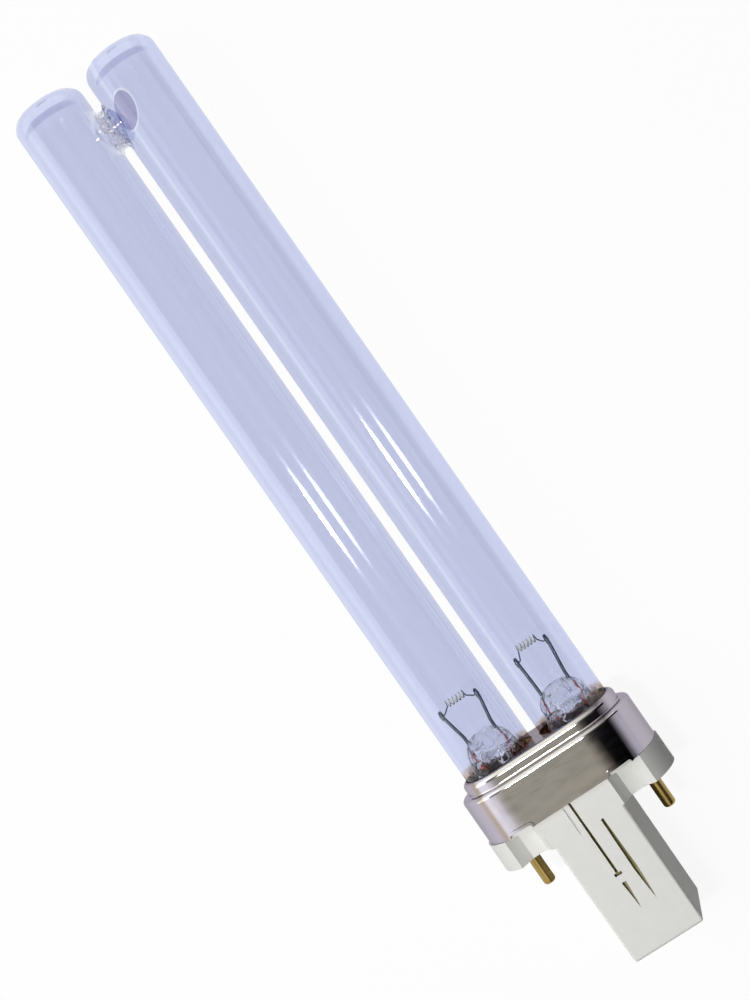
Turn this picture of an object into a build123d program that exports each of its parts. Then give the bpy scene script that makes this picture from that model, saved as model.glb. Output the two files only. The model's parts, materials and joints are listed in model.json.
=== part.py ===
"""Two-limb germicidal lamp with a two-pin plug-in cap, lying on its back.

Millimetres. X runs along the line of the two pins. Y runs along the lamp, with the glass limbs towards +Y
and the post of the cap towards -Y. Z points up, out of the broad front face. The origin is the middle of
the pin plane, the face of the cap that the two pins stand on.
"""

from build123d import *
from math import sqrt
import os

# Glass limbs and the bridge between them
limb_diameter = 12.5
limb_gap = 1.7
glass_wall = 1.0
tip_reach = 142.6
tip_rise = 0.7
tip_corner = 2.6
tip_wall = 1.9
bridge_drop = 10.2
bridge_neck = 7.0
bridge_collar = 8.4
bridge_bore_width = 4.6
bridge_bore_depth = 4.4
throat_overlap = 0.25
mouth_lip = 0.4

# Mouth of the bridge in each limb: width along the limb and depth across it
left_mouth = (6.6, 6.4)
right_mouth = (10.0, 9.2)

# Glass stems
stem_diameter = 8.1
stem_wall = 0.8
stem_height = 15.1
stem_crown = 3.6
stem_rise = 0.35
stem_corner = 3.3
stem_bore_corner = 1.6
flange_thickness = 1.0
flange_inset = 0.05
flare_foot = 9.2
flare_height = 3.4
flare_gap = 0.35

# Electrode mounts
support_wire = 0.55
seal_wire = 0.42
lead_wire = 0.45
lead_bend = 0.9
wire_margin = 0.65
wire_fit = 0.02
support_depth = 1.6
support_rise = 0.5
seal_length = 4.2
clamp_leg = 1.3
fold_share = 0.45
tail_overhang = 0.15
tail_run = 0.35
tail_drop = 0.36
filament_wire = 0.22
filament_turn = 1.3
filament_pitch = 0.64
filament_whole_turns = 5
clamp_fit = 0.03

# How far each limb's left and right supports lean out, how high they rise over the stem, and how far
# the coil stands above its tails
left_limb_leans = (0.9, 0.7)
left_limb_rises = (6.0, 6.0)
left_limb_arch = 1.15
right_limb_leans = (0.2, 0.6)
right_limb_rises = (6.4, 7.0)
right_limb_arch = 1.5

# Metal shell
sheet = 0.4
rim_margin = 1.0
rim_height = 2.2
ledge_width = 1.5
shell_height = 10.2
rim_bend = 0.5
ledge_bend = 0.3
root_bend = 0.25
limb_hole_fit = 0.15
notch_height = 0.55
notch_corner = 0.4
notch_spread = 0.8
notch_lip = 0.45
notch_lip_proud = 0.25

# Moulded cap housing
block_height = 4.9
block_proud = 0.3
skirt_fit = 0.1
skirt_gap = 0.5
floor_thickness = 1.8
shelf_height = 5.5
recess_half_depth = 5.5
recess_wall = 1.5
recess_width = 2.5
facet_width = 2.1
shoulder_spread = 1.4
post_width = 13.2
post_depth = 16.3
post_length = 22.0
post_draft = 0.35
post_wall = 1.6
post_edge = 0.5
mould_step = 0.15

# Latch ramps and slits in the front and back of the post
slit_width = 0.45
slit_depth = 1.3
slit_swell = 0.75
slit_point = 0.1
slit_point_depth = 0.3
left_slit_x = -0.55
left_slit_stop = 8.9
left_slit_foot = 1.3
left_slit_foot_height = 0.5
bar_height = 1.25
right_slit_x = 2.3
right_slit_swell_y = 9.4
ramp_end = 15.0
left_ramp_width = 1.3
left_ramp_depth = 0.25
right_ramp_width = 0.9
right_ramp_depth = 0.2

# Brass pins
pin_diameter = 2.1
pin_spacing = 23.0
pin_length = 6.0
pin_tip = 0.6
pin_shank = 2.5
pin_collar = 3.4
pin_collar_thickness = 0.6
pin_collar_gap = 0.65
pin_tail = 1.2
pin_bore_depth = 3.0
lead_fit = 0.075

# Basing cement
cement_wall = 0.5
cement_fit = 0.05
cement_foot = 0.5

# Starter and capacitor in the post
starter_diameter = 6.6
starter_length = 13.0
starter_wall = 0.7
starter_corner = 1.6
starter_room_corner = 1.1
starter_neck = 3.0
starter_gap = 0.65
starter_top = -2.4
electrode_wire = 0.5
electrode_spacing = 2.6
electrode_reach = 6.5
bimetal_thickness = 0.3
bimetal_width = 1.6
bimetal_fold = 0.7
bimetal_bend = 0.35
bimetal_return = 3.5
splice_height = 2.2
capacitor_width = 8.0
capacitor_thickness = 3.2
capacitor_height = 9.0
capacitor_gap = 1.25
capacitor_top = -4.0
capacitor_edge = 0.8
capacitor_pitch = 5.0
capacitor_splice_height = 1.1
capacitor_lead_bend = 1.0

# Places that follow from those sizes
limb_radius = limb_diameter / 2
limb_spacing = limb_diameter + limb_gap
limb_x = limb_spacing / 2
foot_y = shelf_height + flange_thickness
bridge_y = tip_reach - bridge_drop
stem_top_y = shelf_height + stem_height
stem_bore = stem_diameter / 2 - stem_wall
wire_offset = stem_bore - wire_margin
splice_y = stem_top_y - support_depth
seal_foot_y = splice_y - seal_length
rim_radius = limb_radius + rim_margin
wall_radius = rim_radius + ledge_width
block_radius = wall_radius + block_proud
skirt_radius = wall_radius - sheet - skirt_fit
pocket_radius = limb_radius + cement_wall
rim_y = block_height + shell_height
ledge_y = rim_y - rim_height
skirt_top_y = ledge_y - sheet - skirt_gap
pin_x = pin_spacing / 2
pin_tail_y = floor_thickness + pin_collar_thickness + pin_tail
clamp_pitch = support_wire + filament_wire + 2 * clamp_fit
shoulder_edge = post_width / 2 + shoulder_spread
recess_edge = shoulder_edge + recess_width
land_edge = recess_edge + facet_width
starter_back = post_depth / 2 - post_wall - starter_gap - starter_diameter / 2
capacitor_front = post_depth / 2 - post_wall - capacitor_gap - capacitor_thickness / 2


def across(y):
    """Plane square to the lamp's axis at y, with X to the right and Z up the page."""
    return Plane(origin=(0, y, 0), x_dir=(1, 0, 0), z_dir=(0, -1, 0))


def prism(outline, low, high, taper=0):
    """Outline drawn in X and Z, carried along the axis from high down to low."""
    return extrude(across(high) * outline, amount=high - low, taper=taper)


def stadium(radius):
    """Outline that runs round both limbs at the same distance."""
    return SlotCenterToCenter(limb_spacing, 2 * radius)


def rod(x, z, diameter, low, high):
    """Straight round bar along the lamp's axis."""
    return prism(Pos(x, z) * Circle(diameter / 2), low, high)


def wire(path, diameter):
    """Round wire along a path of straight runs and tangent arcs."""
    section = Plane(origin=path @ 0, z_dir=path % 0) * Circle(diameter / 2)
    return sweep(section, path=path)


def round_ended(radius, low, high, rise, corner):
    """Half section of a bar whose far end is slightly domed, with a rounded corner."""
    edge = high - rise
    face = make_face(
        [
            Line((0, low), (radius, low)),
            Line((radius, low), (radius, edge)),
            TangentArc((0, high), (radius, edge), tangent=(1, 0)),
            Line((0, high), (0, low)),
        ]
    )
    rim = face.vertices().sort_by_distance((radius, edge))[0]
    return fillet(rim, corner)


def waisted(neck, mouth, reach):
    """Spool along X, narrowest in the middle, with its side an arc through neck and mouth radii."""
    side = ThreePointArc((-reach, mouth), (0, neck), (reach, mouth))
    base = Polyline((reach, mouth), (reach, 0), (-reach, 0), (-reach, mouth))
    return revolve(make_face([side, base]), Axis.X)


def funnel(side, mouth):
    """Oval passage from the middle of the bridge that widens to its mouth in one limb."""
    bore = limb_radius - glass_wall
    width, depth = mouth
    reach = limb_x - sqrt(bore**2 - (depth / 2) ** 2) + throat_overlap
    narrow = Plane.YZ.offset(-side * throat_overlap) * Ellipse(bridge_bore_width / 2, bridge_bore_depth / 2)
    wide = Plane.YZ.offset(side * reach) * Ellipse(width / 2, depth / 2)
    return loft([narrow, wide], ruled=True)


def mouth_rim(glass, side):
    """Edges round the mouth of the bridge in the inner wall of one limb."""
    near = limb_x - limb_radius + glass_wall - mouth_lip
    rim = []
    for edge in glass.edges():
        box = edge.bounding_box()
        low, high = sorted((side * box.min.X, side * box.max.X))
        if low > near and high < limb_x and abs(box.center().Y - bridge_y) < mouth_lip:
            rim.append(edge)
    return rim


def glass_envelope():
    """Both limbs and the fused bridge, hollow all through and open at the feet."""
    bore = limb_radius - glass_wall
    gap = limb_gap / 2
    outside = revolve(round_ended(limb_radius, foot_y, tip_reach, tip_rise, tip_corner), Axis.Y)
    inside_corner = tip_corner - glass_wall
    inside = revolve(round_ended(bore, foot_y, tip_reach - tip_wall, tip_rise, inside_corner), Axis.Y)
    tubes = Pos(-limb_x) * outside + Pos(limb_x) * outside
    hollows = Pos(-limb_x) * inside + Pos(limb_x) * inside
    collar_r = bridge_collar / 2
    collar_end = limb_x - sqrt(bore**2 - collar_r**2)
    waist = waisted(bridge_neck / 2, collar_r, gap)
    collar = Rot(0, 90, 0) * Cylinder(collar_r, 2 * collar_end)
    collar -= Rot(0, 90, 0) * Cylinder(collar_r, 2 * gap)
    at_bridge = Pos(0, bridge_y, 0)
    glass = tubes + at_bridge * waist + at_bridge * collar - hollows
    glass -= at_bridge * funnel(-1, left_mouth)
    glass -= at_bridge * funnel(1, right_mouth)
    return fillet(mouth_rim(glass, -1) + mouth_rim(glass, 1), mouth_lip)


def stem():
    """Flared glass tube with a solid crown, butted against the foot of a limb by its flange."""
    radius = stem_diameter / 2
    flare = limb_radius - glass_wall - flare_gap
    flare_y = shelf_height + flare_foot
    flange = limb_radius - flange_inset
    body = revolve(round_ended(radius, shelf_height, stem_top_y, stem_rise, stem_corner), Axis.Y)
    skirt = make_face(
        [
            Polyline((0, foot_y), (flare, foot_y), (flare, flare_y)),
            TangentArc((radius, flare_y + flare_height), (flare, flare_y), tangent=(0, -1)),
            Polyline((radius, flare_y + flare_height), (0, flare_y + flare_height), (0, foot_y)),
        ]
    )
    body += revolve(skirt, Axis.Y)
    body += rod(0, 0, 2 * flange, shelf_height, foot_y)
    hollow_top = stem_top_y - stem_crown
    body -= revolve(round_ended(stem_bore, shelf_height, hollow_top, stem_rise, stem_bore_corner), Axis.Y)
    for x in (-wire_offset, wire_offset):
        body -= rod(x, 0, support_wire + 2 * wire_fit, splice_y, stem_top_y)
        body -= rod(x, 0, seal_wire + 2 * wire_fit, hollow_top - stem_crown, splice_y)
    return body


def support(side, reach, clamp_y):
    """Wire that rises out of the crown, leans out and folds forward over the filament's tail to clamp it."""
    foot_x = side * wire_offset
    top_x = side * reach
    bend = stem_top_y + support_rise
    fold = clamp_pitch * fold_share
    path = FilletPolyline(
        (foot_x, splice_y, 0),
        (foot_x, bend, 0),
        (top_x, clamp_y - clamp_leg, 0),
        (top_x, clamp_y, 0),
        (top_x, clamp_y, clamp_pitch),
        (top_x, clamp_y - clamp_leg, clamp_pitch),
        radius=[support_wire, support_wire, fold, fold],
    )
    return wire(path, support_wire)


def filament(left_reach, right_reach, left_y, right_y, arch):
    """One wire: a tail through the fold of each clamp, and between them a coil a little above the clamps."""
    depth = clamp_pitch / 2
    left_tail_y = left_y - clamp_leg / 2
    right_tail_y = right_y - clamp_leg / 2
    turns = filament_whole_turns + 0.5
    length = filament_pitch * turns
    middle = (right_reach - left_reach) / 2
    level = (left_tail_y + right_tail_y) / 2 + arch
    helix = Helix(filament_pitch, length, (filament_turn - filament_wire) / 2, direction=(1, 0, 0))
    coil = (Pos(middle - length / 2, level, depth) * Rot(180, 0, 0) * helix).edges()[0]

    def tail(side, reach, tail_y, joint, drop):
        outer_x = side * (reach + support_wire / 2 + tail_overhang)
        inner_x = side * (reach - support_wire / 2 - tail_run)
        return FilletPolyline(
            (outer_x, tail_y, depth),
            (inner_x, tail_y, depth),
            joint + drop * tail_drop,
            joint,
            radius=filament_wire,
        )

    left_tail = tail(-1, left_reach, left_tail_y, coil @ 0, -(coil % 0))
    right_tail = tail(1, right_reach, right_tail_y, coil @ 1, coil % 1)
    return wire(Wire(left_tail.edges() + [coil] + right_tail.edges()), filament_wire)


def pin_lead(side):
    """Copper lead from an outer seal wire down into the bore of the pin on that side."""
    seal_x = side * (limb_x + wire_offset)
    path = FilletPolyline(
        (seal_x, seal_foot_y, 0),
        (seal_x, shelf_height, 0),
        (side * pin_x, pin_tail_y + lead_wire, 0),
        (side * pin_x, pin_tail_y - pin_bore_depth + lead_fit, 0),
        radius=lead_bend,
    )
    return wire(path, lead_wire)


def starter_lead(side):
    """Copper lead from an inner seal wire to the end of the starter's electrode."""
    seal_x = side * (limb_x - wire_offset)
    electrode_x = side * electrode_spacing / 2
    path = FilletPolyline(
        (seal_x, seal_foot_y, 0),
        (seal_x, shelf_height, 0),
        (electrode_x, splice_height + 2 * lead_wire, -starter_back),
        (electrode_x, splice_height, -starter_back),
        radius=lead_wire,
    )
    return wire(path, lead_wire)


def stepped_plug(wall, rim, ledge, top, ledge_edge, rim_edge, root):
    """Solid stadium with a narrower one on it, its edges and the root of the step rounded."""
    base = prism(stadium(wall), block_height, ledge)
    base = fillet(base.faces().sort_by(Axis.Y)[-1].edges(), ledge_edge)
    crown = prism(stadium(rim), block_height, top)
    crown = fillet(crown.faces().sort_by(Axis.Y)[-1].edges(), rim_edge)
    plug = base + crown
    step = plug.edges().filter_by_position(Axis.Y, ledge - root, ledge + root)
    return fillet([edge for edge in step if edge.bounding_box().max.Z < rim + root], root)


def metal_shell():
    """Drawn cup: straight wall, ledge, rim and a flat top with a hole for each limb."""
    shell = stepped_plug(
        wall_radius, rim_radius, ledge_y, rim_y, ledge_bend + sheet, rim_bend + sheet, root_bend
    )
    shell -= stepped_plug(
        wall_radius - sheet,
        rim_radius - sheet,
        ledge_y - sheet,
        rim_y - sheet,
        ledge_bend,
        rim_bend,
        root_bend + sheet,
    )
    for x in (-limb_x, limb_x):
        shell -= rod(x, 0, limb_diameter + 2 * limb_hole_fit, ledge_y, rim_y)
    width = recess_width + 2 * notch_spread
    notch = RectangleRounded(width, 2 * notch_height, notch_corner)
    border = RectangleRounded(
        width + 2 * notch_lip, 2 * (notch_height + notch_lip), notch_corner + notch_lip
    )
    band = prism(stadium(wall_radius + notch_lip_proud), block_height, ledge_y)
    band -= prism(stadium(wall_radius - sheet), block_height, ledge_y)
    for x in (-(shoulder_edge + recess_edge) / 2, (shoulder_edge + recess_edge) / 2):
        at_notch = Pos(x, block_height)
        shell += band & extrude(at_notch * border, amount=block_radius, both=True)
        shell -= extrude(at_notch * notch, amount=block_radius, both=True)
    return shell


def block_cut():
    """Outline of what the front of the block lacks: two recesses, and the strip before the post."""
    edge_z = sqrt(block_radius**2 - (land_edge - limb_x) ** 2)
    right = [
        (land_edge, edge_z),
        (recess_edge, recess_half_depth),
        (shoulder_edge, recess_half_depth),
        (post_width / 2, post_depth / 2),
    ]
    left = [(-x, z) for x, z in reversed(right)]
    front = 2 * block_radius
    return make_face(Polyline((land_edge, front), *right, *left, (-land_edge, front), close=True))


def slit(x, sections):
    """Cut into the front face that runs through sections of y, width and depth, one after another."""
    face = post_depth / 2
    outlines = []
    for y, width, depth in sections:
        outlines.append(across(y) * Pos(x, face) * Rectangle(width, 2 * depth))
    return loft(outlines, ruled=True)


def ramp(right, width, start, depth):
    """Shallow channel left of a slit, deepest at start, that runs out to the face at the end of the ramps."""
    face = post_depth / 2
    side = Plane(origin=(right - width, 0, 0), x_dir=(0, 1, 0), z_dir=(1, 0, 0))
    over = face + slit_depth
    profile = make_face(
        Polyline((start, over), (start, face - depth), (-ramp_end, face), (-ramp_end, over), close=True)
    )
    return extrude(side * profile, amount=width)


def latch_grooves():
    """Tool for one face of the post: two ramps, each with a slit, and a bar across the left slit."""
    stop = -left_slit_stop
    lower = stop - bar_height
    tip = (-ramp_end, slit_point, slit_point_depth)
    foot_top = stop + left_slit_foot_height
    tools = slit(left_slit_x, [(block_height, slit_width, slit_depth), (stop, slit_width, slit_depth)])
    tools += slit(left_slit_x, [(foot_top, left_slit_foot, slit_depth), (stop, left_slit_foot, slit_depth)])
    tools += slit(left_slit_x, [(lower, slit_swell, slit_depth), tip])
    swell = (-right_slit_swell_y, slit_swell, slit_depth)
    tools += slit(right_slit_x, [(0, slit_width, slit_depth), swell, tip])
    tools += ramp(left_slit_x, left_ramp_width, block_height, left_ramp_depth)
    tools += ramp(right_slit_x, right_ramp_width, -right_slit_swell_y, right_ramp_depth)
    return tools


def cap_housing():
    """Recessed block with a skirt inside the shell, a hollow post and the latch grooves."""
    missing = prism(block_cut(), 0, block_height)
    body = prism(stadium(block_radius), 0, block_height)
    body -= missing
    body -= mirror(missing, Plane.XY)
    body += prism(stadium(skirt_radius), block_height, skirt_top_y)
    outline = RectangleRounded(post_width - 2 * mould_step, post_depth - 2 * mould_step, post_edge)
    post = prism(outline, -post_length, 0, taper=post_draft)
    body += fillet(post.faces().sort_by(Axis.Y)[0].edges(), post_edge)
    well_half_width = pin_x + pin_collar / 2 + pin_collar_gap
    well = Rectangle(2 * well_half_width, 2 * (recess_half_depth - recess_wall))
    hollow = Rectangle(post_width - 2 * post_wall, post_depth - 2 * post_wall)
    body -= prism(stadium(pocket_radius), shelf_height, skirt_top_y)
    body -= prism(well, floor_thickness, shelf_height)
    body -= prism(hollow, post_wall - post_length, shelf_height)
    for x in (-pin_x, pin_x):
        body -= rod(x, 0, pin_shank, 0, floor_thickness)
    grooves = latch_grooves()
    return body - grooves - Rot(0, 180, 0) * grooves


def pin():
    """Brass pin with a rounded tip, a thicker shank and a collar in the housing, and a bore for its lead."""
    radius = pin_diameter / 2
    collar = pin_collar / 2
    collar_y = floor_thickness + pin_collar_thickness
    half = make_face(
        Polyline(
            (0, -pin_length),
            (radius, -pin_length),
            (radius, 0),
            (pin_shank / 2, 0),
            (pin_shank / 2, floor_thickness),
            (collar, floor_thickness),
            (collar, collar_y),
            (radius, collar_y),
            (radius, pin_tail_y),
            (0, pin_tail_y),
            close=True,
        )
    )
    half = fillet(half.vertices().sort_by_distance((radius, -pin_length))[0], pin_tip)
    bore = rod(0, 0, lead_wire + 2 * lead_fit, pin_tail_y - pin_bore_depth, pin_tail_y)
    return revolve(half, Axis.Y) - bore


def basing_cement():
    """Cement that fills the skirt and the rim round both limbs."""
    top_y = rim_y - sheet - cement_fit
    body = prism(stadium(pocket_radius - cement_fit), foot_y + cement_foot, top_y)
    body = fillet(body.faces().sort_by(Axis.Y)[-1].edges(), rim_bend + sheet)
    for x in (-limb_x, limb_x):
        body -= rod(x, 0, limb_diameter + 2 * cement_fit, foot_y, rim_y)
    return body


def starter_bulb():
    """Small sealed bulb, solid at the neck where its two electrodes pass."""
    radius = starter_diameter / 2
    bottom = starter_top - starter_length
    neck_y = starter_top - starter_neck
    body = revolve(round_ended(radius, bottom, starter_top, starter_wall, starter_corner), Axis.Y)
    room_low = bottom + starter_wall
    room = round_ended(radius - starter_wall, room_low, neck_y, starter_wall, starter_room_corner)
    body -= revolve(room, Axis.Y)
    for x in (-electrode_spacing / 2, electrode_spacing / 2):
        body -= rod(x, 0, electrode_wire + 2 * wire_fit, neck_y - starter_wall, starter_top)
    return Pos(0, 0, -starter_back) * body


def starter_post_electrode():
    """Straight electrode from the splice down into the starter's room."""
    low = starter_top - starter_neck - electrode_reach
    return rod(electrode_spacing / 2, -starter_back, electrode_wire, low, splice_height)


def starter_bimetal():
    """Electrode that ends in a strip folded back towards the other electrode."""
    low = starter_top - starter_neck - electrode_reach
    x = -electrode_spacing / 2
    body = rod(x, -starter_back, electrode_wire, low, splice_height)
    strip = FilletPolyline(
        (x, low),
        (x, low - bimetal_fold),
        (x + 2 * bimetal_fold, low - bimetal_fold),
        (x + 2 * bimetal_fold, low + bimetal_return),
        radius=bimetal_bend,
    )
    ribbon = offset(strip, bimetal_thickness / 2, side=Side.BOTH)
    return body + Pos(0, 0, -starter_back) * extrude(make_face(ribbon), amount=bimetal_width / 2, both=True)


def suppression_capacitor():
    """Dipped block with rounded edges."""
    body = Box(capacitor_width, capacitor_height, capacitor_thickness)
    body = fillet(body.edges(), capacitor_edge)
    return Pos(0, capacitor_top - capacitor_height / 2, capacitor_front) * body


def capacitor_lead(side):
    """Lead from the top of the capacitor to the side of the starter's electrode."""
    path = FilletPolyline(
        (side * capacitor_pitch / 2, capacitor_top, capacitor_front),
        (side * capacitor_pitch / 2, capacitor_splice_height, capacitor_front),
        (side * electrode_spacing / 2, capacitor_splice_height, electrode_wire / 2 - starter_back),
        radius=capacitor_lead_bend,
    )
    return wire(path, electrode_wire)


limbs = (
    ("left", -1, left_limb_leans, left_limb_rises, left_limb_arch),
    ("right", 1, right_limb_leans, right_limb_rises, right_limb_arch),
)

nodes = {
    "glass_envelope": glass_envelope(),
    "metal_shell": metal_shell(),
    "basing_cement": basing_cement(),
    "cap_housing": cap_housing(),
    "left_pin": Pos(-pin_x) * pin(),
    "right_pin": Pos(pin_x) * pin(),
    "starter_bulb": starter_bulb(),
    "starter_post_electrode": starter_post_electrode(),
    "starter_bimetal": starter_bimetal(),
    "suppression_capacitor": suppression_capacitor(),
    "capacitor_left_lead": capacitor_lead(-1),
    "capacitor_right_lead": capacitor_lead(1),
    "left_pin_lead": pin_lead(-1),
    "right_pin_lead": pin_lead(1),
    "left_starter_lead": starter_lead(-1),
    "right_starter_lead": starter_lead(1),
}

for name, side, leans, rises, arch in limbs:
    at_limb = Pos(side * limb_x)
    left_reach, right_reach = (wire_offset + lean for lean in leans)
    left_y, right_y = (stem_top_y + rise for rise in rises)
    nodes[f"{name}_stem"] = at_limb * stem()
    nodes[f"{name}_filament"] = at_limb * filament(left_reach, right_reach, left_y, right_y, arch)
    for hand, reach, clamp_y in ((-1, left_reach, left_y), (1, right_reach, right_y)):
        place = "outer" if hand == side else "inner"
        nodes[f"{name}_{place}_support"] = at_limb * support(hand, reach, clamp_y)
        seal = rod(hand * wire_offset, 0, seal_wire, seal_foot_y, splice_y)
        nodes[f"{name}_{place}_seal_wire"] = at_limb * seal

os.makedirs("parts", exist_ok=True)
for name, shape in nodes.items():
    export_step(shape, f"parts/{name}.step")
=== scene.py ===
"""Looks of a two-limb germicidal lamp with a two-pin cap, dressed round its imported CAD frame.

The scene is in metres; the values below are in millimetres unless their comment says otherwise. X runs
along the line of the pins, Y along the lamp towards the glass tips, Z up out of the broad front face, and
the origin is the middle of the pin plane. A band is a middle, its reach to each side and the width that it
fades over.
"""

import json

import bpy
import numpy as np
from mathutils import Matrix

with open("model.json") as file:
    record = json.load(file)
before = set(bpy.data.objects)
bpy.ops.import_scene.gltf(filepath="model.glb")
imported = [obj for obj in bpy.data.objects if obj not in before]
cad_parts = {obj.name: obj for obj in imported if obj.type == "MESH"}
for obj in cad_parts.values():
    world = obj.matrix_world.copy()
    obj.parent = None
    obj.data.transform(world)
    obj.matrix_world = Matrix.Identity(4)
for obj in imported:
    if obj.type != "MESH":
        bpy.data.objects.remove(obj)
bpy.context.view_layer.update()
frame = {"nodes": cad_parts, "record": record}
MM = 0.001

# Camera: where it stands, its picture's right and up, its lens as a share of the sensor's side, and how near
# it sees
camera_place = (44.7, 63.6, 285.1)
camera_right = (0.81157, -0.57187, -0.11967)
camera_up = (0.56379, 0.82028, -0.0964)
focal_share = 1.8139
sensor_side = 36.0
nearest_seen = 10.0

# Floor under the lips of the shell's notches and the tips of the limbs, as places in Y and Z, with the tones
# that it lights with and is seen in, and how much of it is seen at its own white
floor_half_side = 3000.0
shell_rest = (5.7, -9.0)
tip_rest = (139.9, -6.25)
floor_lighting = (0.2, 0.2, 0.2)
floor_seen = (0.95, 0.95, 0.95)
floor_own_white = 0.92

# Places on the lamp that the finishes follow
limb_x = 7.1
limb_radius = 6.25
limb_bore = 5.25
tip_skin_y = 141.0
bridge_y = 132.4
rim_y = 15.1
shell_half = 16.0

# Neck between the limbs: how far the wrinkled glass goes to each side of its middle, across and along
neck_half = 0.9
neck_reach = 4.6

# Mouth of the bridge on the right limb: a leaning oval, with bands in shares of it for its inside and edge
mouth_x = 4.2
mouth_lean = 0.2
mouth_half = (2.0, 3.1)
mouth_inside = (0.0, 0.93, 0.06)
mouth_edge = (1.03, 0.04, 0.05)
mouth_edge_start = -0.4
# On the upper skin, the oval's inside is painted shade and its edge a painted highlight
mouth_painted_shade = (0.28, 0.265, 0.46)
mouth_painted_highlight = (0.9, 0.92, 1.0)

# Glass of the limbs: its bands with their tints, some of which are painted shade and painted reflections, the
# bands where its outer layer is dull, and its relief
draw_stretch = (1, 0.02, 1)
draw_tints = [(0.35, (0.588, 0.63, 0.857)), (0.65, (0.62, 0.662, 0.89))]
# Painted shade on the sides where the two limbs face each other
facing_shade_band = (0.0, 2.2, 1.0)
facing_shade_tint = (0.56, 0.595, 0.79)
bore_tint = (1, 1, 1)
# A soft darker band at the inner end of each bore, on its upper side, is painted shade
bore_end_along = (139.6, 0.5, 0.5)
bore_end_rise = (0.0, 4.0)
bore_end_shade_tint = (0.62, 0.59, 0.72)
neck_across = (-0.7, 0.5, 0.9)
neck_along = (bridge_y, 3.9, 0.6)
neck_tint = (0.8, 0.81, 0.9)
# A light line and a dark line along the right limb's upper skin are painted reflections
painted_bright_band = (3.5, 0.3, 0.25)
painted_bright_tint = (0.69, 0.74, 0.92)
painted_dark_band = (11.4, 0.4, 0.4)
painted_dark_tint = (0.53, 0.57, 0.78)
foot_across = (6.0, 1.6, 1.0)
foot_along = (rim_y, 0.9, 0.8)
foot_tint = (0.42, 0.31, 0.25)
dull_side = (2.9, 1.7, 0.4)
dull_edges = (limb_radius, 0.4, 0.5)
dull_coat = 0.25
draw_share = 0.008
neck_relief = 0.3
limb_index = 1.004
coat_index = 1.5
coat_roughness = 0.05

# Curls in flame-worked glass, as bands of a random field: white ones that are painted glints, the patches
# that hold them and how clear they stay, and dark ones that are painted dark reflections
glint_curl = (0.5, 0.012, 0.014)
glint_patches = (0.48, 0.56)
glint_clearness = 0.15
glint_tint = (1, 1, 1)
dark_reflection_curl = (0.55, 0.004, 0.012)
dark_reflection_tint = (0.4, 0.38, 0.43)

# Part of a random field over which a mottled colour goes from deep to pale
mottle_span = (0.3, 0.7)

# Plastic of the cap, and the bands of the latch slits with their painted shade
plastic_pale = (0.805, 0.805, 0.77)
plastic_deep = (0.78, 0.78, 0.745)
plastic_gloss = (0.38, 0.48)
plastic_mirror = 0.25
plastic_relief = 0.008
slit_across = (0.0, 3.2, 0.05)
slit_along = (-5.1, 10.0, 0.1)
slit_depth = (7.2, 0.5, 0.15)
slit_painted_shade = (0.34, 0.3, 0.14)

# Filaments: the coated part of the wire, how patchy its coat is, and the tints of wire and coat
coil_across = (limb_x + 0.15, 1.2, 0.7)
coil_patches = (-0.4, 2.0)
wire_tint = (0.12, 0.12, 0.15)
coil_tint = (0.9, 0.87, 0.72)
coil_roughness = 0.6
coil_relief = 0.03

# Shell: painted reflections along its wall from its left end to its right, the painted shade of its top
# plate, and its waves and grain
shell_painted_reflections = [
    (0.0, (0.5, 0.48, 0.55)),
    (0.1, (0.5, 0.46, 0.53)),
    (0.125, (0.42, 0.36, 0.3)),
    (0.135, (0.44, 0.37, 0.3)),
    (0.15, (0.66, 0.63, 0.69)),
    (0.2, (0.64, 0.61, 0.67)),
    (0.26, (0.46, 0.45, 0.44)),
    (0.7, (0.45, 0.44, 0.43)),
    (0.86, (0.12, 0.11, 0.12)),
    (0.91, (0.45, 0.42, 0.47)),
    (1.0, (0.45, 0.42, 0.47)),
]
# The top plate's darker tint is painted shade
top_plate = (rim_y, 0.03, 0.1)
top_painted_shade = (0.23, 0.215, 0.24)
shell_edge_tint = (0.6, 0.57, 0.62, 1)
wave_stretch = (0.6, 1.0, 0.6)
grain_stretch = (0.3, 3.0, 0.3)
grain_share = 0.04
shell_gloss = (0.08, 0.2)
shell_relief = 0.04

# Room that metal and glass mirror, its heights and reaches as parts of a ray's direction: a bright panel at
# the left under a dark ceiling, a white back, and what shows in front from left to right, low and higher up
panel_side = (0.3, 0.4)
panel_rise = (0.58, 0.6)
panel_glow = (2.0, 2.0, 2.0)
dark_wall = (0, 0, 0)
dark_ceiling = (0.16, 0.16, 0.18)
back_reach = (0.33, 0.43)
back_glow = (1.8, 1.75, 1.6)
front_reach = (-0.16, -0.12)
front_fade = (-0.21, -0.178)
low_front_stops = [
    (0.25, (1.0, 0.98, 1.0)),
    (0.32, (0.95, 0.92, 0.86)),
    (0.42, (0.75, 0.71, 0.63)),
    (0.5, (0.62, 0.56, 0.46)),
    (0.62, (0.0, 0.0, 0.0)),
    (0.82, (0.0, 0.0, 0.0)),
    (0.9, (0.9, 0.9, 0.95)),
]
high_front_stops = [
    (0.25, (1.0, 0.98, 1.0)),
    (0.3, (0.5, 0.47, 0.4)),
    (0.37, (0.32, 0.3, 0.24)),
    (0.46, (0.38, 0.35, 0.28)),
    (0.54, (0.0, 0.0, 0.0)),
    (0.82, (0.0, 0.0, 0.0)),
    (0.9, (0.9, 0.9, 0.95)),
]

# World: its white to the camera, its dim tone through glass, and the fill that it lights surfaces with
open_white = (1, 1, 1)
through_glass = (0.06, 0.06, 0.06)
fill_tint = (0.95, 0.96, 1.0, 1)
fill_strength = 0.06


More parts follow.
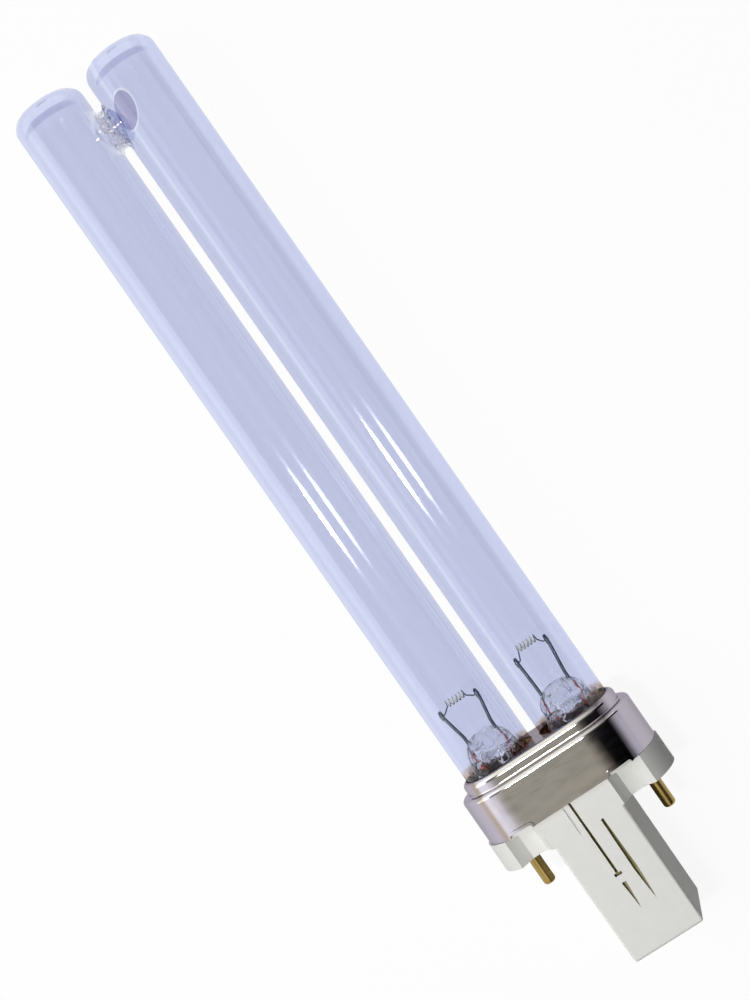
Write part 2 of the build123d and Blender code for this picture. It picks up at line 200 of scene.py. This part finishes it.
def material(name):
    """New material with an empty node tree, its Principled shader and its output."""
    made = bpy.data.materials.new(name)
    made.use_nodes = True
    tree = made.node_tree
    tree.nodes.clear()
    output = tree.nodes.new("ShaderNodeOutputMaterial")
    shader = tree.nodes.new("ShaderNodeBsdfPrincipled")
    tree.links.new(shader.outputs["BSDF"], output.inputs["Surface"])
    return made, tree, shader


def place(tree, scale=(1, 1, 1)):
    """Object coordinates in millimetres, stretched by scale."""
    coordinates = tree.nodes.new("ShaderNodeTexCoord")
    mapping = tree.nodes.new("ShaderNodeMapping")
    mapping.inputs["Scale"].default_value = [s / MM for s in scale]
    tree.links.new(coordinates.outputs["Object"], mapping.inputs["Vector"])
    return mapping.outputs["Vector"]


def axis(tree, vector, letter):
    """One coordinate of a vector."""
    node = tree.nodes.new("ShaderNodeSeparateXYZ")
    tree.links.new(vector, node.inputs[0])
    return node.outputs[letter]


def figure(tree, operation, *values):
    """Arithmetic on sockets and plain numbers."""
    node = tree.nodes.new("ShaderNodeMath")
    node.operation = operation
    for socket, value in zip(node.inputs, values):
        if isinstance(value, (int, float)):
            socket.default_value = value
        else:
            tree.links.new(value, socket)
    return node.outputs[0]


def product(tree, first, second):
    """First value times the second, which for two shares is where both hold."""
    return figure(tree, "MULTIPLY", first, second)


def distance(tree, first, second):
    """Root of the sum of two values' squares."""
    squares = figure(tree, "ADD", product(tree, first, first), product(tree, second, second))
    return figure(tree, "SQRT", squares)


def carry(tree, value, span, ends, smooth=False):
    """Value carried from a span to a pair of ends and held there, evenly or by a smooth step."""
    node = tree.nodes.new("ShaderNodeMapRange")
    if smooth:
        node.interpolation_type = "SMOOTHSTEP"
    node.inputs["From Min"].default_value = span[0]
    node.inputs["From Max"].default_value = span[1]
    node.inputs["To Min"].default_value = ends[0]
    node.inputs["To Max"].default_value = ends[1]
    tree.links.new(value, node.inputs["Value"])
    return node.outputs["Result"]


def near(tree, value, middle, reach, fade):
    """1 within reach of a middle, falling smoothly to 0 over the fade beyond it."""
    away = figure(tree, "ABSOLUTE", figure(tree, "SUBTRACT", value, middle))
    return carry(tree, away, (reach, reach + fade), (1.0, 0.0), smooth=True)


def rise(tree, value, span):
    """Smooth step from 0 to 1 as a value goes through a span."""
    return carry(tree, value, span, (0.0, 1.0), smooth=True)


def spread(tree, value, low, high):
    """Value from 0 to 1 carried to the range from low to high."""
    return carry(tree, value, (0.0, 1.0), (low, high))


def noise(tree, vector, scale, detail, roughness=0.5):
    """Soft random field from 0 to 1."""
    node = tree.nodes.new("ShaderNodeTexNoise")
    node.inputs["Scale"].default_value = scale
    node.inputs["Detail"].default_value = detail
    node.inputs["Roughness"].default_value = roughness
    tree.links.new(vector, node.inputs["Vector"])
    return node.outputs["Fac"]


def ramp(tree, value, stops):
    """Colour that follows a value through stops of place and colour."""
    node = tree.nodes.new("ShaderNodeValToRGB")
    elements = node.color_ramp.elements
    while len(elements) < len(stops):
        elements.new(0.5)
    for element, (at, colour) in zip(elements, stops):
        element.position = at
        element.color = (*colour, 1)
    tree.links.new(value, node.inputs["Fac"])
    return node.outputs["Color"]


def mottle(tree, field, pale, deep):
    """Colour that goes from deep to pale with a random field."""
    return ramp(tree, field, [(mottle_span[0], deep), (mottle_span[1], pale)])


def blend(tree, share, first, second):
    """First colour where share is 0, second where it is 1."""
    node = tree.nodes.new("ShaderNodeMix")
    node.data_type = "RGBA"
    tree.links.new(share, node.inputs["Factor"])
    for socket, colour in ((node.inputs["A"], first), (node.inputs["B"], second)):
        if isinstance(colour, tuple):
            socket.default_value = (*colour, 1)
        else:
            tree.links.new(colour, socket)
    return node.outputs["Result"]


def bump(tree, shader, height, depth):
    """Relief of that depth from a height field, on the surface and on its coat."""
    node = tree.nodes.new("ShaderNodeBump")
    node.inputs["Strength"].default_value = 1.0
    node.inputs["Distance"].default_value = depth * MM
    tree.links.new(height, node.inputs["Height"])
    tree.links.new(node.outputs["Normal"], shader.inputs["Normal"])
    tree.links.new(node.outputs["Normal"], shader.inputs["Coat Normal"])


def clear(shader, index):
    """Make a shader see-through glass that bends light by an index, under a mirror-like outer layer."""
    shader.inputs["Transmission Weight"].default_value = 1.0
    shader.inputs["Roughness"].default_value = 0.0
    shader.inputs["IOR"].default_value = index
    shader.inputs["Coat Weight"].default_value = 1.0
    shader.inputs["Coat IOR"].default_value = coat_index


def drawn_glass(name):
    """Tube glass with a lavender outer skin: draw lines, brown feet, a pale neck and the oval mouth in it,
    with painted shade and painted reflections and highlights.
    """
    made, tree, shader = material(name)
    here = place(tree)
    x, y, z = (axis(tree, here, letter) for letter in "XYZ")
    lines = noise(tree, place(tree, draw_stretch), scale=0.8, detail=3.0)
    wrinkles = noise(tree, here, scale=1.1, detail=3.0, roughness=0.6)

    out = figure(tree, "SUBTRACT", figure(tree, "ABSOLUTE", x), limb_x)
    aside = figure(tree, "ABSOLUTE", out)
    past_bore = figure(tree, "GREATER_THAN", distance(tree, out, z), (limb_bore + limb_radius) / 2)
    skin = figure(tree, "MAXIMUM", past_bore, figure(tree, "GREATER_THAN", y, tip_skin_y))
    upper_skin = product(tree, skin, figure(tree, "GREATER_THAN", z, 0.0))

    from_mouth = figure(tree, "SUBTRACT", y, bridge_y)
    leaning = figure(tree, "MULTIPLY_ADD", from_mouth, -mouth_lean, figure(tree, "SUBTRACT", x, mouth_x))
    across = figure(tree, "DIVIDE", leaning, mouth_half[0])
    oval = distance(tree, across, figure(tree, "DIVIDE", from_mouth, mouth_half[1]))
    # The mouth is painted on the upper skin: painted shade inside and a painted highlight on its edge
    painted_mouth_shade = product(tree, upper_skin, near(tree, oval, *mouth_inside))
    painted_mouth_edge = product(tree, upper_skin, near(tree, oval, *mouth_edge))
    painted_mouth_edge = product(tree, painted_mouth_edge, figure(tree, "GREATER_THAN", across, mouth_edge_start))

    # Painted reflections: a light line and a dark line along the right limb
    painted_bright = near(tree, x, *painted_bright_band)
    painted_dark = near(tree, x, *painted_dark_band)
    neck = product(tree, near(tree, y, *neck_along), near(tree, x, *neck_across))
    foot = product(tree, near(tree, y, *foot_along), near(tree, aside, *foot_across))
    # Painted shade at the inner end of the bore
    bore_end_shade = product(tree, near(tree, y, *bore_end_along), rise(tree, z, bore_end_rise))
    bore = blend(tree, bore_end_shade, bore_tint, bore_end_shade_tint)
    tint = ramp(tree, lines, draw_tints)
    # Painted shade where the limbs face each other
    tint = blend(tree, near(tree, x, *facing_shade_band), tint, facing_shade_tint)
    tint = blend(tree, skin, bore, tint)
    tint = blend(tree, neck, tint, neck_tint)
    tint = blend(tree, product(tree, upper_skin, painted_bright), tint, painted_bright_tint)
    tint = blend(tree, product(tree, upper_skin, painted_dark), tint, painted_dark_tint)
    tint = blend(tree, foot, tint, foot_tint)
    tint = blend(tree, painted_mouth_shade, tint, mouth_painted_shade)
    tint = blend(tree, painted_mouth_edge, tint, mouth_painted_highlight)
    tree.links.new(tint, shader.inputs["Base Color"])

    drawn = figure(tree, "MULTIPLY", lines, draw_share)
    bump(tree, shader, figure(tree, "ADD", drawn, product(tree, wrinkles, neck)), neck_relief)
    clear(shader, limb_index)
    dull = figure(tree, "SUBTRACT", near(tree, x, *dull_side), painted_bright)
    dull = figure(tree, "MAXIMUM", dull, near(tree, aside, *dull_edges))
    tree.links.new(spread(tree, dull, 1.0, dull_coat), shader.inputs["Coat Weight"])
    shader.inputs["Coat Roughness"].default_value = coat_roughness
    return made


def wrinkled_glass(name, pale, deep, size, depth, index):
    """Clear glass that was worked in a flame: lumps and folds in relief, with painted glints as white curls
    and painted dark reflections as dark curls.
    """
    made, tree, shader = material(name)
    here = place(tree)
    lumps = noise(tree, here, scale=size, detail=3.0)
    folds = tree.nodes.new("ShaderNodeTexVoronoi")
    folds.inputs["Scale"].default_value = size
    tree.links.new(here, folds.inputs["Vector"])
    curls = noise(tree, here, scale=0.5, detail=1.0)
    patches = rise(tree, noise(tree, here, scale=0.35, detail=0.0), glint_patches)
    # White curls are painted glints, and dark curls are painted dark reflections
    white = product(tree, near(tree, curls, *glint_curl), patches)
    tint = blend(tree, near(tree, curls, *dark_reflection_curl), mottle(tree, lumps, pale, deep), dark_reflection_tint)
    tree.links.new(blend(tree, white, tint, glint_tint), shader.inputs["Base Color"])
    bump(tree, shader, figure(tree, "ADD", lumps, folds.outputs["Distance"]), depth)
    clear(shader, index)
    tree.links.new(spread(tree, white, 1.0, glint_clearness), shader.inputs["Transmission Weight"])
    return made


def waver(tree, shader, tint, field, gloss, depth):
    """Give an opaque surface its tint, and a gloss and relief that follow a random field."""
    tree.links.new(tint, shader.inputs["Base Color"])
    tree.links.new(spread(tree, field, *gloss), shader.inputs["Roughness"])
    bump(tree, shader, field, depth)


def metal(name, pale, deep, size, stretch, gloss, depth):
    """Bare metal whose tint, gloss and surface waver along the given stretch."""
    made, tree, shader = material(name)
    field = noise(tree, place(tree, stretch), scale=size, detail=4.0)
    waver(tree, shader, mottle(tree, field, pale, deep), field, gloss, depth)
    shader.inputs["Metallic"].default_value = 1.0
    return made


def matt(name, pale, deep, size, gloss, depth):
    """Dipped or set surface with a mottled colour and a fine skin."""
    made, tree, shader = material(name)
    field = noise(tree, place(tree), scale=size, detail=5.0, roughness=0.6)
    waver(tree, shader, mottle(tree, field, pale, deep), field, gloss, depth)
    return made


def moulded_plastic(name):
    """Off-white plastic with a fine skin, and painted shade, deeper and olive, where light sinks into the
    latch slits.
    """
    made, tree, shader = material(name)
    here = place(tree)
    x, y, z = (axis(tree, here, letter) for letter in "XYZ")
    field = noise(tree, here, scale=0.5, detail=5.0, roughness=0.6)
    deep = near(tree, figure(tree, "ABSOLUTE", z), *slit_depth)
    by_slit = product(tree, near(tree, x, *slit_across), near(tree, y, *slit_along))
    skin = mottle(tree, field, plastic_pale, plastic_deep)
    # The olive deep in the slits is painted shade
    tint = blend(tree, product(tree, deep, by_slit), skin, slit_painted_shade)
    waver(tree, shader, tint, field, plastic_gloss, plastic_relief)
    shader.inputs["Specular IOR Level"].default_value = plastic_mirror
    return made


def coated_coil(name):
    """Tungsten wire, dark at its tails and patchily coated cream along the coil."""
    made, tree, shader = material(name)
    here = place(tree)
    coil = near(tree, figure(tree, "ABSOLUTE", axis(tree, here, "X")), *coil_across)
    patches = spread(tree, noise(tree, here, scale=1.6, detail=2.0), *coil_patches)
    share = product(tree, coil, patches)
    share.node.use_clamp = True
    tree.links.new(blend(tree, share, wire_tint, coil_tint), shader.inputs["Base Color"])
    bump(tree, shader, noise(tree, here, scale=8.0, detail=3.0), coil_relief)
    shader.inputs["Roughness"].default_value = coil_roughness
    return made


def beaten_shell(name):
    """Drawn nickel sheet, wavy from the press, with painted reflections bright at its left bend and dark by
    its right end, and painted shade on top.
    """
    made, tree, shader = material(name)
    here = place(tree)
    waves = noise(tree, place(tree, wave_stretch), scale=0.3, detail=1.0)
    grain = noise(tree, place(tree, grain_stretch), scale=1.5, detail=4.0, roughness=0.6)
    along = carry(tree, axis(tree, here, "X"), (-shell_half, shell_half), (0.0, 1.0))
    shaded_top = near(tree, axis(tree, here, "Y"), *top_plate)
    # Painted reflections along the wall, and painted shade on the top plate
    tint = blend(tree, shaded_top, ramp(tree, along, shell_painted_reflections), top_painted_shade)
    tree.links.new(tint, shader.inputs["Base Color"])
    tree.links.new(spread(tree, grain, *shell_gloss), shader.inputs["Roughness"])
    bump(tree, shader, figure(tree, "ADD", waves, figure(tree, "MULTIPLY", grain, grain_share)), shell_relief)
    shader.inputs["Metallic"].default_value = 1.0
    shader.inputs["Specular Tint"].default_value = shell_edge_tint
    return made


finishes = {
    "limb_glass": drawn_glass("limb_glass"),
    "stem_glass": wrinkled_glass(
        "stem_glass", pale=(0.98, 0.97, 0.98), deep=(0.9, 0.91, 0.91), size=0.6, depth=0.4, index=1.18
    ),
    "neck_glass": wrinkled_glass(
        "neck_glass", pale=(0.88, 0.88, 0.95), deep=(0.6, 0.6, 0.74), size=1.1, depth=0.5, index=1.3
    ),
    "starter_glass": wrinkled_glass(
        "starter_glass", pale=(0.95, 0.95, 0.96), deep=(0.9, 0.9, 0.92), size=0.5, depth=0.02, index=1.5
    ),
    "support_nickel": metal(
        "support_nickel",
        pale=(0.2, 0.21, 0.25),
        deep=(0.1, 0.11, 0.14),
        size=3.0,
        stretch=(1, 0.3, 1),
        gloss=(0.3, 0.45),
        depth=0.01,
    ),
    "seal_copper": metal(
        "seal_copper",
        pale=(0.6, 0.13, 0.09),
        deep=(0.45, 0.07, 0.06),
        size=2.0,
        stretch=(1, 0.5, 1),
        gloss=(0.3, 0.4),
        depth=0.005,
    ),
    "lead_copper": metal(
        "lead_copper",
        pale=(0.8, 0.42, 0.26),
        deep=(0.7, 0.33, 0.2),
        size=2.0,
        stretch=(1, 0.5, 1),
        gloss=(0.25, 0.35),
        depth=0.005,
    ),
    "filament_tungsten": coated_coil("filament_tungsten"),
    "shell_nickel": beaten_shell("shell_nickel"),
    "cement": matt(
        "cement", pale=(0.92, 0.72, 0.56), deep=(0.7, 0.5, 0.38), size=1.2, gloss=(0.7, 0.9), depth=0.2
    ),
    "cap_plastic": moulded_plastic("cap_plastic"),
    "pin_brass": metal(
        "pin_brass",
        pale=(0.42, 0.3, 0.1),
        deep=(0.3, 0.21, 0.07),
        size=1.0,
        stretch=(1, 0.15, 1),
        gloss=(0.2, 0.35),
        depth=0.01,
    ),
    "starter_metal": metal(
        "starter_metal",
        pale=(0.5, 0.5, 0.5),
        deep=(0.4, 0.4, 0.42),
        size=2.0,
        stretch=(1, 0.5, 1),
        gloss=(0.3, 0.4),
        depth=0.005,
    ),
    "capacitor_coat": matt(
        "capacitor_coat",
        pale=(0.45, 0.28, 0.1),
        deep=(0.38, 0.23, 0.08),
        size=0.6,
        gloss=(0.3, 0.4),
        depth=0.02,
    ),
}

slot_of = {}
for subpart in frame["record"]["subparts"]:
    slot_of[subpart["node"]] = subpart["material_slot"]
for name, node in frame["nodes"].items():
    node.data.materials.clear()
    node.data.materials.append(finishes[slot_of[name]])
    node.data.polygons.foreach_set("material_index", np.zeros(len(node.data.polygons), np.int32))

# The walls of the neck take the wrinkled glass, and the glass throws no shadow
envelope = frame["nodes"]["glass_envelope"].data
envelope.materials.append(finishes["neck_glass"])
for polygon in envelope.polygons:
    middle = np.array(polygon.center) / MM
    if abs(middle[0]) < neck_half and abs(middle[1] - bridge_y) < neck_reach:
        polygon.material_index = 1
for name in ("glass_envelope", "left_stem", "right_stem"):
    frame["nodes"][name].visible_shadow = False


def seen_directly(tree, path):
    """1 for a ray from the camera, a mirror or through glass, and 0 for one that lights a surface."""
    mirrored = figure(tree, "MAXIMUM", path.outputs["Is Camera Ray"], path.outputs["Is Glossy Ray"])
    return figure(tree, "MAXIMUM", mirrored, path.outputs["Is Transmission Ray"])


def either(tree, share, first, second):
    """First shader where share is 0, second where it is 1."""
    node = tree.nodes.new("ShaderNodeMixShader")
    tree.links.new(share, node.inputs["Fac"])
    tree.links.new(first.outputs[0], node.inputs[1])
    tree.links.new(second.outputs[0], node.inputs[2])
    return node.outputs[0]


def pale_floor():
    """White paper: seen mostly at its own white, and still taking the lamp's shadow."""
    made = bpy.data.materials.new("pale_floor")
    made.use_nodes = True
    tree = made.node_tree
    tree.nodes.clear()
    output = tree.nodes.new("ShaderNodeOutputMaterial")
    paper = tree.nodes.new("ShaderNodeBsdfDiffuse")
    white = tree.nodes.new("ShaderNodeEmission")
    seen = seen_directly(tree, tree.nodes.new("ShaderNodeLightPath"))
    tree.links.new(blend(tree, seen, floor_lighting, floor_seen), paper.inputs["Color"])
    shown = either(tree, spread(tree, seen, 0.0, floor_own_white), paper, white)
    tree.links.new(shown, output.inputs["Surface"])
    return made


# Stage
slope = (tip_rest[1] - shell_rest[1]) / (tip_rest[0] - shell_rest[0])
corners = np.array([(-1, -1), (1, -1), (1, 1), (-1, 1)]) * floor_half_side * MM
heights = shell_rest[1] * MM + slope * (corners[:, 1] - shell_rest[0] * MM)
floor_mesh = bpy.data.meshes.new("floor")
floor_mesh.from_pydata(np.column_stack([corners, heights]).tolist(), [], [(0, 1, 2, 3)])
floor_mesh.materials.append(pale_floor())
floor = bpy.data.objects.new("floor", floor_mesh)
bpy.context.scene.collection.objects.link(floor)


def studio_room(tree, away):
    """Warm front, white back and a dark ceiling, over black walls with a bright panel at the left."""
    x, y, z = (axis(tree, away, letter) for letter in "XYZ")
    turn = carry(tree, figure(tree, "ARCTAN2", x, z), (-np.pi / 2, np.pi / 2), (0.0, 1.0))
    left = rise(tree, figure(tree, "MULTIPLY", x, -1), panel_side)
    walls = blend(tree, left, dark_wall, panel_glow)
    rear = blend(tree, rise(tree, z, panel_rise), walls, dark_ceiling)
    rear = blend(tree, rise(tree, y, back_reach), rear, back_glow)
    low = ramp(tree, turn, low_front_stops)
    high = ramp(tree, turn, high_front_stops)
    front = blend(tree, rise(tree, y, front_fade), low, high)
    return blend(tree, rise(tree, y, front_reach), front, rear)


def studio_world():
    """White to the camera, the studio room in mirrors, dim through glass and a weak fill on surfaces."""
    world = bpy.data.worlds.new("studio")
    world.use_nodes = True
    tree = world.node_tree
    tree.nodes.clear()
    output = tree.nodes.new("ShaderNodeOutputWorld")
    path = tree.nodes.new("ShaderNodeLightPath")
    away = tree.nodes.new("ShaderNodeTexCoord").outputs["Generated"]
    shown = blend(tree, path.outputs["Is Glossy Ray"], open_white, studio_room(tree, away))
    shown = blend(tree, path.outputs["Is Transmission Ray"], shown, through_glass)
    seen = tree.nodes.new("ShaderNodeBackground")
    tree.links.new(shown, seen.inputs["Color"])
    fill = tree.nodes.new("ShaderNodeBackground")
    fill.inputs["Color"].default_value = fill_tint
    fill.inputs["Strength"].default_value = fill_strength
    tree.links.new(either(tree, seen_directly(tree, path), fill, seen), output.inputs["Surface"])
    return world


def soft_light(name, stand, target, size, power):
    """Oval soft lamp, turned from where it stands to a target."""
    data = bpy.data.lights.new(name, "AREA")
    data.shape = "ELLIPSE"
    data.size = size[0] * MM
    data.size_y = size[1] * MM
    data.energy = power
    lamp = bpy.data.objects.new(name, data)
    bpy.context.scene.collection.objects.link(lamp)
    back = np.array(stand, float) - np.array(target, float)
    back /= np.linalg.norm(back)
    right = np.cross((0, 1, 0), back)
    right /= np.linalg.norm(right)
    turn = np.eye(4)
    turn[:3, :3] = np.column_stack([right, np.cross(back, right), back])
    turn[:3, 3] = np.array(stand) * MM
    lamp.matrix_world = Matrix(turn.tolist())
    return lamp


bpy.context.scene.world = studio_world()
side_light = soft_light("side_light", stand=(-400, 190, 420), target=(0, 60, 0), size=(500, 650), power=2.0)
side_light.visible_glossy = False
side_light.visible_transmission = False
soft_light("top_light", stand=(-110, 62, 610), target=(0, 62, 0), size=(110, 46), power=1.9)

camera_data = bpy.data.cameras.new("camera")
camera_data.sensor_width = sensor_side
camera_data.lens = focal_share * sensor_side
camera_data.clip_start = nearest_seen * MM
camera = bpy.data.objects.new("camera", camera_data)
bpy.context.scene.collection.objects.link(camera)
camera_stand = np.eye(4)
camera_stand[:3, 0] = camera_right
camera_stand[:3, 1] = camera_up
camera_stand[:3, 2] = np.cross(camera_right, camera_up)
camera_stand[:3, 3] = np.array(camera_place) * MM
camera.matrix_world = Matrix(camera_stand.tolist())
bpy.context.scene.camera = camera
bpy.context.scene.view_settings.view_transform = "Standard"
